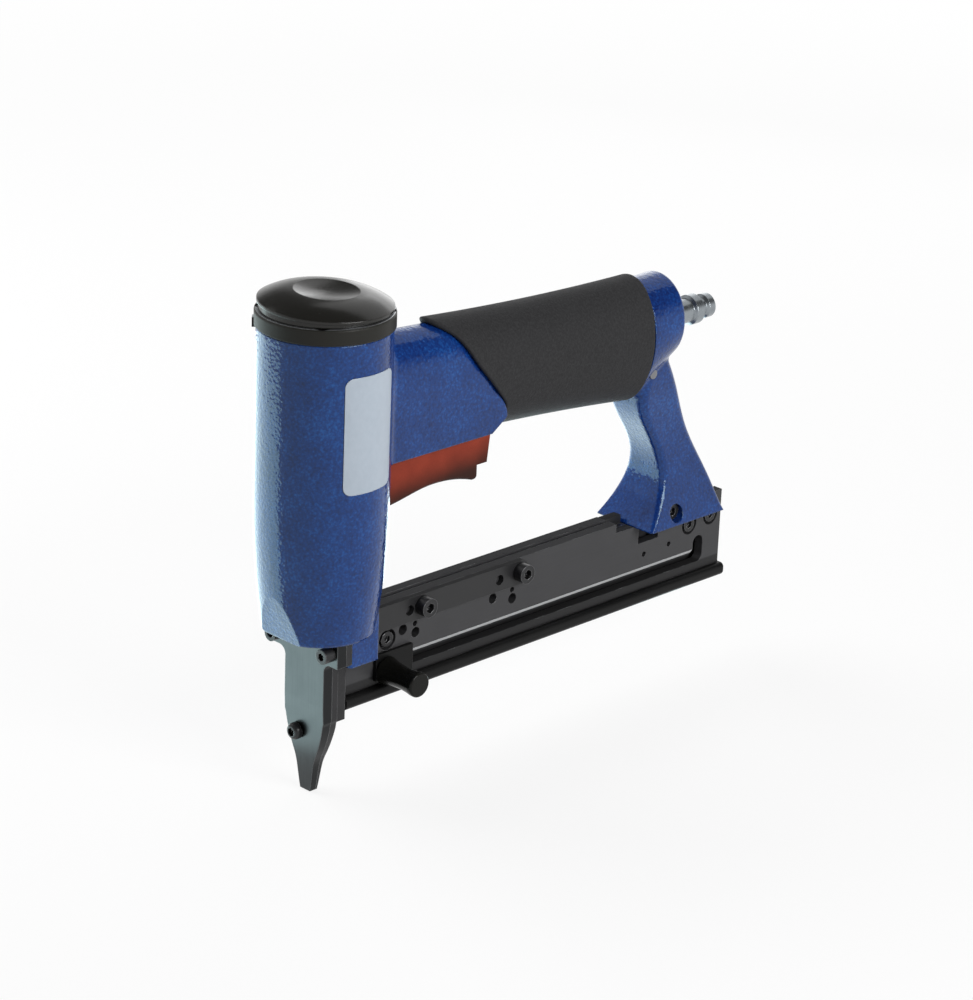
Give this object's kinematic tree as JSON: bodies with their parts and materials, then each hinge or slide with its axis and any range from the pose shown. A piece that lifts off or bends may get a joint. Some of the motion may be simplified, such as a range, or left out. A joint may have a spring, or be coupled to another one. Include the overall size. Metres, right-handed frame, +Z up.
{
  "type": "pin nailer",
  "caption": "Pneumatic pin nailer with an upright barrel, a rubber-covered handle, a trigger and a straight magazine with a side pusher knob; it drives headless pins.",
  "frame": {"origin": "middle of the nose tip, on the line along which the driver blade travels", "axes": "+X from the nose to the handle's end, +Z up the barrel away from the work, -Y the side with the pusher knob"},
  "size_m": [0.2184, 0.0461, 0.1752],
  "materials": {
    "blue_paint": "hammered gloss",
    "black_enamel": "gloss",
    "gasket_board": "matte",
    "soft_rubber": "matte",
    "red_anodised": "satin",
    "nose_steel": "satin",
    "dark_steel": "satin",
    "black_anodised": "satin",
    "plain_steel": "satin",
    "plug_chrome": "polished",
    "bare_aluminium": "satin",
    "valve_plastic": "matte"
  },
  "bodies": {
    "frame": {"housing": "blue_paint", "rear_bracket": "blue_paint", "cylinder_cap": "black_enamel", "head_gasket": "gasket_board", "grip_sleeve": "soft_rubber", "bumper": "soft_rubber", "sleeve_orings": "soft_rubber", "trigger_valve_orings": "soft_rubber", "reservoir_oring": "soft_rubber", "plug_seal": "soft_rubber", "nose_front_plate": "nose_steel", "nose_back_guide": "dark_steel", "magazine_head": "dark_steel", "nose_screws": "dark_steel", "nose_lower_screw": "dark_steel", "cap_screws": "dark_steel", "bracket_screw": "dark_steel", "magazine_cap_screws": "dark_steel", "magazine_front_screw": "dark_steel", "magazine_rear_screws": "dark_steel", "rail_screws": "dark_steel", "magazine_left_plate": "black_anodised", "magazine_right_plate": "black_anodised", "magazine_side_pad": "black_anodised", "magazine_rail": "black_anodised", "bracket_pin": "plain_steel", "trigger_pin": "plain_steel", "deflector_ring": "plain_steel", "magazine_spacer": "plain_steel", "magazine_end_block": "plain_steel", "spring_strip": "plain_steel", "main_valve_spring": "plain_steel", "trigger_valve_spring": "plain_steel", "air_plug": "plug_chrome", "cylinder_sleeve": "bare_aluminium", "trigger_valve_body": "valve_plastic", "trigger_valve_plug": "valve_plastic"},
    "driver": {"piston": "bare_aluminium", "piston_oring": "soft_rubber", "driver_blade": "plain_steel", "driver_pin": "plain_steel"},
    "head_valve": {"main_valve": "valve_plastic", "main_valve_seal": "soft_rubber", "main_valve_oring": "soft_rubber"},
    "trigger": {"trigger": "red_anodised"},
    "valve_stem": {"trigger_valve_stem": "plain_steel"},
    "pusher": {"pusher_blade": "plain_steel", "pusher_slider": "plain_steel", "pusher_knob": "black_anodised", "spring_roll": "plain_steel"},
    "deflector": {"exhaust_deflector": "black_enamel"}
  },
  "joints": [
    {"name": "trigger_pull", "type": "hinge", "parent": "frame", "child": "trigger", "pos_m": [0.031, 0, 0.1182], "axis": [0, -1, 0], "range_deg": [0, 8], "stiffness_Nm_per_rad": 0.6},
    {"name": "stem_lift", "type": "slide", "parent": "frame", "child": "valve_stem", "axis": [0, 0, 1], "range_m": [0, 0.0038], "deforming": ["trigger_valve_spring"]},
    {"name": "driver_stroke", "type": "slide", "parent": "frame", "child": "driver", "axis": [0, 0, -1], "range_m": [0, 0.062]},
    {"name": "head_valve_lift", "type": "slide", "parent": "frame", "child": "head_valve", "axis": [0, 0, 1], "range_m": [0, 0.003], "stiffness_N_per_m": 1500, "deforming": ["main_valve_spring"]},
    {"name": "pusher_slide", "type": "slide", "parent": "frame", "child": "pusher", "axis": [1, 0, 0], "range_m": [0, 0.1548], "stiffness_N_per_m": 10, "springref_m": -0.5, "deforming": ["spring_strip"]},
    {"name": "deflector_turn", "type": "hinge", "parent": "frame", "child": "deflector", "pos_m": [0.0028, 0, 0.17], "axis": [0, 0, 1], "continuous": true}
  ],
  "couplings": [
    {"joint": "stem_lift", "follows": "trigger_pull", "m_per_rad": 0.027}
  ]
}
